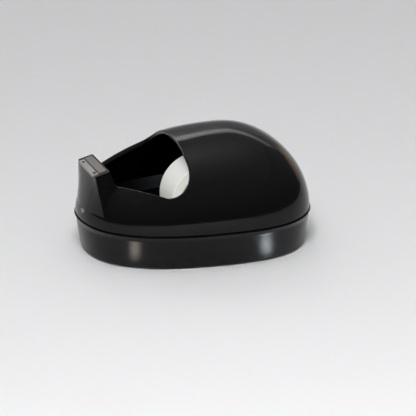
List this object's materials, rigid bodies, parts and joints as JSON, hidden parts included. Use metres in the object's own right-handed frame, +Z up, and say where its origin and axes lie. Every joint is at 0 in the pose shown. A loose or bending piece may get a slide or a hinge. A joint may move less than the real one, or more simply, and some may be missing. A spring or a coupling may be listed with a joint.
{
  "type": "desk tape dispenser",
  "caption": "Pebble-shaped desk tape dispenser with a domed cover, an open mouth over the roll, a raised cutter head and a weighted base.",
  "frame": {"origin": "middle of the underside of the foot pad, on the surface the dispenser stands on", "axes": "+X to the rounded rear end, -X to the cutter, +Z up"},
  "size_m": [0.1186, 0.091, 0.0583],
  "materials": {
    "shell_gloss": "polished black moulding",
    "base_satin": "satin black moulding",
    "frame_plastic": "plain black moulding",
    "rest_pad": "smooth soft pad that holds the tape's end",
    "rivet_plastic": "staked plastic studs",
    "blade_steel": "thin serrated strip",
    "screw_steel": "dark zinc plating",
    "spindle_steel": "turned and polished",
    "washer_plastic": "natural nylon",
    "hub_plastic": "grey moulding",
    "core_board": "wound board tube",
    "tape_film": "frosted translucent film, wound",
    "ballast_iron": "rough cast, unpainted",
    "pad_rubber": "fine closed-cell foam"
  },
  "bodies": {
    "base": {"base_shell": "base_satin", "roll_cradle": "frame_plastic", "cradle_screws": "screw_steel", "ballast_front": "ballast_iron", "ballast_rear": "ballast_iron", "ballast_screws": "screw_steel", "bottom_cover": "frame_plastic", "base_screws": "screw_steel", "foot_pad": "pad_rubber"},
    "cover": {"upper_shell": "shell_gloss", "cutter_head": "shell_gloss", "head_screws": "screw_steel", "cutter_blade": "blade_steel", "blade_rivets": "rivet_plastic", "tape_rest": "rest_pad"},
    "spindle": {"spindle_pin": "spindle_steel", "spindle_washers": "washer_plastic"},
    "roll": {"hub_drum": "hub_plastic", "hub_flange": "hub_plastic", "tape_core": "core_board", "tape_winding": "tape_film"}
  },
  "joints": [
    {"name": "cover_lift", "type": "slide", "parent": "base", "child": "cover", "axis": [0, 0, 1], "range_m": [0, 0.06]},
    {"name": "spindle_lift", "type": "slide", "parent": "base", "child": "spindle", "axis": [0, 0, 1], "range_m": [0, 0.008]},
    {"name": "roll_spin", "type": "hinge", "parent": "spindle", "child": "roll", "pos_m": [0.0055, 0, 0.0235], "axis": [0, 1, 0], "continuous": true}
  ]
}
